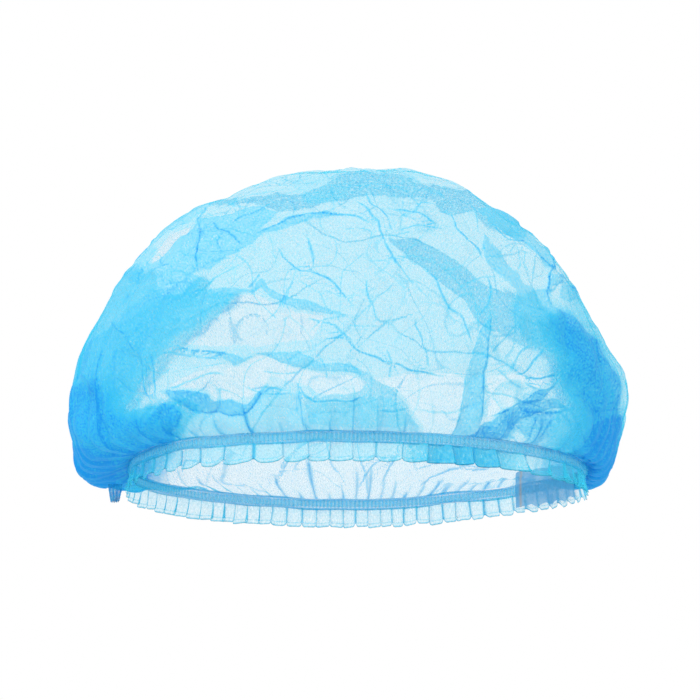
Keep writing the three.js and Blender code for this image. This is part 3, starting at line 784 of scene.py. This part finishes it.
# %% [markdown]
# ## The non-woven finish
# Spunbond cloth is a veil of random filaments, held by a grid of small fused points. It isn't woven,
# so there are no threads to follow: clouds where the filaments bunch, thin streaks, and the points.
# All pieces share one node group. It turns layers into opacity the way light is lost in a stack of
# sheets, 1 - (clear share) to the power of the layers, and makes deep stacks bluer.


# %% Node group
def new_group(name, inputs, outputs):
    """A shader group with named sockets: name, kind, and a start value for the inputs."""
    group = bpy.data.node_groups.new(name, "ShaderNodeTree")
    for label, kind, value in inputs:
        socket = group.interface.new_socket(label, in_out="INPUT", socket_type=kind)
        if value is not None:
            socket.default_value = value
    for label, kind in outputs:
        group.interface.new_socket(label, in_out="OUTPUT", socket_type=kind)
    return group


def add(tree, kind, settings=None, **inputs):
    """A node with its settings, and each input set to a value or linked from a socket."""
    node = tree.nodes.new(kind)
    for key, value in (settings or {}).items():
        setattr(node, key, value)
    for key, value in inputs.items():
        socket = node.inputs[int(key[1:])] if key[1:].isdigit() and key[0] == "i" else node.inputs[key]
        if isinstance(value, bpy.types.NodeSocket):
            tree.links.new(value, socket)
        else:
            socket.default_value = value
    return node


def calc(tree, operation, a, b=0.0, clamp=False):
    """One Math node, giving its output."""
    return add(tree, "ShaderNodeMath", {"operation": operation, "use_clamp": clamp}, i0=a, i1=b).outputs[0]


CLEAR_SHARE = 0.66
POINT_PITCH = 1.4 * MM

veil = new_group(
    "Spunbond veil",
    [
        ("Cloth", "NodeSocketVector", None),
        ("Layers", "NodeSocketFloat", 1.0),
        ("Light Blue", "NodeSocketColor", (0.1, 0.7, 0.93, 1)),
        ("Deep Blue", "NodeSocketColor", (0.02, 0.35, 0.85, 1)),
        ("Grain", "NodeSocketFloat", 1.0),
    ],
    [("Color", "NodeSocketColor"), ("Alpha", "NodeSocketFloat"), ("Height", "NodeSocketFloat")],
)
inside = add(veil, "NodeGroupInput").outputs
cloud = add(veil, "ShaderNodeTexNoise", None, Vector=inside["Cloth"], Scale=130.0, Detail=3.0, Roughness=0.6)
streak_map = add(veil, "ShaderNodeMapping", None, Vector=inside["Cloth"], Rotation=(0, 0, 0.5), Scale=(1, 0.55, 1))
streak = add(veil, "ShaderNodeTexNoise", None, Vector=streak_map.outputs[0], Scale=1100.0, Detail=2.0, Roughness=0.6)
cross_map = add(veil, "ShaderNodeMapping", None, Vector=inside["Cloth"], Rotation=(0, 0, -0.9), Scale=(1, 0.55, 1))
cross = add(veil, "ShaderNodeTexNoise", None, Vector=cross_map.outputs[0], Scale=950.0, Detail=2.0, Roughness=0.6)
point = add(
    veil, "ShaderNodeTexVoronoi", {"voronoi_dimensions": "2D"}, Vector=inside["Cloth"],
    Scale=1 / POINT_PITCH, Randomness=0.2,
)
fused = calc(veil, "SUBTRACT", 1.0, calc(veil, "MULTIPLY", point.outputs["Distance"], 2.6), clamp=True)
filaments = calc(veil, "SUBTRACT", calc(veil, "ADD", streak.outputs[0], cross.outputs[0]), 1.0)
clouds = calc(veil, "MULTIPLY", calc(veil, "SUBTRACT", cloud.outputs[0], 0.5), 0.7)
grain = calc(veil, "ADD", calc(veil, "MULTIPLY", filaments, 1.9), clouds)
grain = calc(veil, "SUBTRACT", grain, calc(veil, "MULTIPLY", fused, 0.3))
grain = calc(veil, "ADD", calc(veil, "MULTIPLY", grain, inside["Grain"]), 1.07)
density = calc(veil, "MAXIMUM", grain, 0.15)
stack = calc(veil, "MULTIPLY", density, inside["Layers"])
clear = calc(veil, "POWER", CLEAR_SHARE, stack)
alpha = calc(veil, "SUBTRACT", 1.0, clear, clamp=True)
deep = calc(veil, "MULTIPLY", calc(veil, "SUBTRACT", stack, 1.0), 0.13, clamp=True)
shade = add(veil, "ShaderNodeMix", {"data_type": "RGBA"}, i0=deep, i6=inside["Light Blue"], i7=inside["Deep Blue"])
height = calc(veil, "SUBTRACT", filaments, calc(veil, "MULTIPLY", fused, 0.6))
add(veil, "NodeGroupOutput", None, Color=shade.outputs[2], Alpha=alpha, Height=height)
print("group", veil.name, "with", len(veil.nodes), "nodes")


# %% [markdown]
# The material adds up the layers from the stored distances. A line is exp(-(d / width)^2), a lap is
# a ramp from outside its edge to inside, half a millimetre wide, with a thin line along the edge.


# %% Cloth materials
def stored(tree, name):
    """The number that the mesh holds under a name."""
    return add(tree, "ShaderNodeAttribute", {"attribute_name": name}).outputs["Fac"]


def line_layers(tree, distance, width):
    """exp(-(d / width)^2): 1 on a line and nothing a little way off."""
    scaled = calc(tree, "MULTIPLY", distance, 1 / width)
    squared = calc(tree, "MULTIPLY", calc(tree, "MULTIPLY", scaled, scaled), -1.0)
    return calc(tree, "EXPONENT", squared)


def lap_layers(tree, inside_mm, extra):
    """extra inside a lap, 0 outside, with a denser line on the edge of a real lap."""
    ramp = add(
        tree, "ShaderNodeMapRange", {"interpolation_type": "SMOOTHSTEP"}, Value=inside_mm,
        **{"From Min": -0.3, "From Max": 0.3, "To Min": 0.0, "To Max": extra},
    ).outputs[0]
    edge_line = calc(tree, "MULTIPLY", line_layers(tree, inside_mm, 0.5), 0.25 * max(extra, 0))
    return calc(tree, "ADD", ramp, edge_line)


def cloth_material(name, light, deep_blue, grain, roughness, bump, lines=(), laps_of=(), hem_lines=(), stain=None):
    """Principled cloth whose colour, alpha and bump come from the shared veil. lines holds
    (attribute, width), hem_lines holds (distance from the hem, width, strength), and stain tints a
    line of the light colour."""
    material = bpy.data.materials.new(name)
    material.use_nodes = True
    tree = material.node_tree
    shader = tree.nodes["Principled BSDF"]
    shader.inputs["Roughness"].default_value = roughness
    shader.inputs["Specular IOR Level"].default_value = 0.12
    uv = add(tree, "ShaderNodeUVMap", {"uv_map": "cloth"})
    count = stored(tree, "layers")
    for attribute, width in lines:
        line = line_layers(tree, stored(tree, attribute), width)
        line = calc(tree, "MULTIPLY", line, stored(tree, attribute + "_amount"))
        count = calc(tree, "ADD", count, line)
    for kind in laps_of:
        count = calc(tree, "ADD", count, lap_layers(tree, stored(tree, "lap_" + kind), LAP_LAYERS[kind]))
    for away, width, strength in hem_lines:
        from_line = calc(tree, "SUBTRACT", stored(tree, "hem"), away)
        count = calc(tree, "ADD", count, calc(tree, "MULTIPLY", line_layers(tree, from_line, width), strength))
    if stain:
        attribute, width, tint = stain
        line = line_layers(tree, stored(tree, attribute), width)
        light, deep_blue = [
            add(tree, "ShaderNodeMix", {"data_type": "RGBA"}, i0=line, i6=clean, i7=tint).outputs[2]
            for clean in (light, deep_blue)
        ]
    group = add(
        tree, "ShaderNodeGroup", {"node_tree": veil}, Cloth=uv.outputs[0], Layers=count,
        **{"Light Blue": light, "Deep Blue": deep_blue, "Grain": grain},
    )
    relief = add(tree, "ShaderNodeBump", None, Height=group.outputs["Height"], Strength=bump, Distance=0.15 * MM)
    tree.links.new(group.outputs["Color"], shader.inputs["Base Color"])
    tree.links.new(group.outputs["Alpha"], shader.inputs["Alpha"])
    tree.links.new(relief.outputs[0], shader.inputs["Normal"])
    return material


CROWN_LINES = [("crease", 0.55), ("crumple", 0.8), ("fine", 0.6), ("gather", 0.95)]
HEM_LINES = [(0.25, 0.45, 1.3), (2.1, 0.3, 0.6)]
crown_finish = cloth_material(
    "sheer blue non-woven", (0.05, 0.7, 0.91, 1), (0.008, 0.31, 0.8, 1), 1.0, 0.65, 0.5,
    lines=CROWN_LINES, laps_of=list(LAP_LAYERS),
)
hem_finish = cloth_material("ribbed hem non-woven", (0.03, 0.58, 0.9, 1), (0.006, 0.27, 0.75, 1), 0.6, 0.65, 0.3)
frill_finish = cloth_material(
    "frill non-woven", (0.06, 0.72, 0.92, 1), (0.006, 0.28, 0.78, 1), 0.9, 0.65, 0.5,
    lines=[("gather", 0.95)], hem_lines=HEM_LINES,
)
lap_finish = cloth_material(
    "fused lap non-woven", (0.09, 0.42, 0.7, 1), (0.07, 0.34, 0.62, 1), 0.5, 0.5, 0.4,
    stain=("glue", 0.9, (0.3, 0.34, 0.38, 1)),
)
tab_finish = cloth_material("torn tab non-woven", (0.03, 0.5, 0.85, 1), (0.01, 0.26, 0.7, 1), 0.8, 0.6, 0.8)

# %% [markdown]
# The elastic is knitted: fine cross threads every half millimetre over lengthwise cords. It shows
# only through the sleeve, so a wave for each direction is enough.

# %% Elastic material
elastic_finish = bpy.data.materials.new("knitted elastic")
elastic_finish.use_nodes = True
tree = elastic_finish.node_tree
shader = tree.nodes["Principled BSDF"]
shader.inputs["Roughness"].default_value = 0.7
uv = add(tree, "ShaderNodeUVMap", {"uv_map": "cloth"})
threads = add(
    tree, "ShaderNodeTexWave", {"bands_direction": "X"}, Vector=uv.outputs[0], Scale=330.0, Distortion=1.5, Detail=2.0,
)
tint = add(
    tree, "ShaderNodeMix", {"data_type": "RGBA"}, i0=threads.outputs["Fac"],
    i6=(0.2, 0.72, 0.92, 1), i7=(0.4, 0.85, 0.96, 1),
)
relief = add(tree, "ShaderNodeBump", None, Height=threads.outputs["Fac"], Strength=0.5, Distance=0.1 * MM)
tree.links.new(tint.outputs[2], shader.inputs["Base Color"])
tree.links.new(relief.outputs[0], shader.inputs["Normal"])
shader.inputs["Alpha"].default_value = 0.5

# %% Finish and ride each piece, and hide its CAD part
PIECES = [
    (crown, crown_finish, "crown", "crown_cloth"),
    (sleeve, hem_finish, "hem_channel", "hem_cloth"),
    (elastic, elastic_finish, "elastic_band", "elastic"),
    (frill, frill_finish, "frill", "frill_cloth"),
    (strip, lap_finish, "hem_overlap", "fused_cloth"),
    (tab, tab_finish, "end_tab", "tab_cloth"),
]
for piece, finish, node, slot in PIECES:
    piece.data.materials.append(finish)
    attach(piece, "root")
    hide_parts(node)

# %% [markdown]
# ## Light, floor and camera
# The cap is shown against plain white, lit from all round, as a sheer thing has to be: its own
# layers then do the drawing. A large soft light from above and left gives the folds a little form.
# The camera stands far off with a long lens, a little below the rim, and looks up into the opening.

# %% Light and floor
world = bpy.data.worlds.new("white studio")
bpy.context.scene.world = world
world.use_nodes = True
world.node_tree.nodes["Background"].inputs["Color"].default_value = (1, 1, 1, 1)
world.node_tree.nodes["Background"].inputs["Strength"].default_value = 1.0


def soft_light(name, place, aim, size, power):
    """A square area light at place that faces aim."""
    lamp = bpy.data.lights.new(name, "AREA")
    lamp.size = size
    lamp.energy = power
    lamp_object = bpy.data.objects.new(name, lamp)
    lamp_object.location = place
    heading = np.array(aim) - np.array(place)
    lamp_object.rotation_euler = Vector(heading).to_track_quat("-Z", "Y").to_euler()
    bpy.context.scene.collection.objects.link(lamp_object)


soft_light("key", (-1.2, -1.4, 1.6), (0, 0, 0.07), 1.2, 12)
floor_mesh = bpy.data.meshes.new("floor")
floor_mesh.from_pydata([(-4, -4, -0.62), (4, -4, -0.62), (4, 4, -0.62), (-4, 4, -0.62)], [], [(0, 1, 2, 3)])
floor = bpy.data.objects.new("floor", floor_mesh)
bpy.context.scene.collection.objects.link(floor)
pale = bpy.data.materials.new("pale floor")
pale.use_nodes = True
pale.node_tree.nodes["Principled BSDF"].inputs["Base Color"].default_value = (0.9, 0.9, 0.9, 1)
pale.node_tree.nodes["Principled BSDF"].inputs["Roughness"].default_value = 0.9
floor_mesh.materials.append(pale)

# %% Camera
CAMERA_DISTANCE = 2.4
FIELD_WIDTH = 0.35
target = np.array([-0.002, 0, 0.062])
back_way = np.array([0, -np.cos(VIEW_FROM_BELOW), -np.sin(VIEW_FROM_BELOW)])
camera_data = bpy.data.cameras.new("camera")
camera_data.lens = camera_data.sensor_width * CAMERA_DISTANCE / FIELD_WIDTH
camera = bpy.data.objects.new("camera", camera_data)
camera.location = target + back_way * CAMERA_DISTANCE
camera.rotation_euler = (np.pi / 2 + VIEW_FROM_BELOW, 0, 0)
bpy.context.scene.collection.objects.link(camera)
bpy.context.scene.camera = camera
bpy.context.scene.view_settings.view_transform = "Standard"
bpy.context.scene.cycles.transparent_max_bounces = 48
print("lens", round(camera_data.lens), "mm")

# %% Finish
bpy.context.view_layer.update()
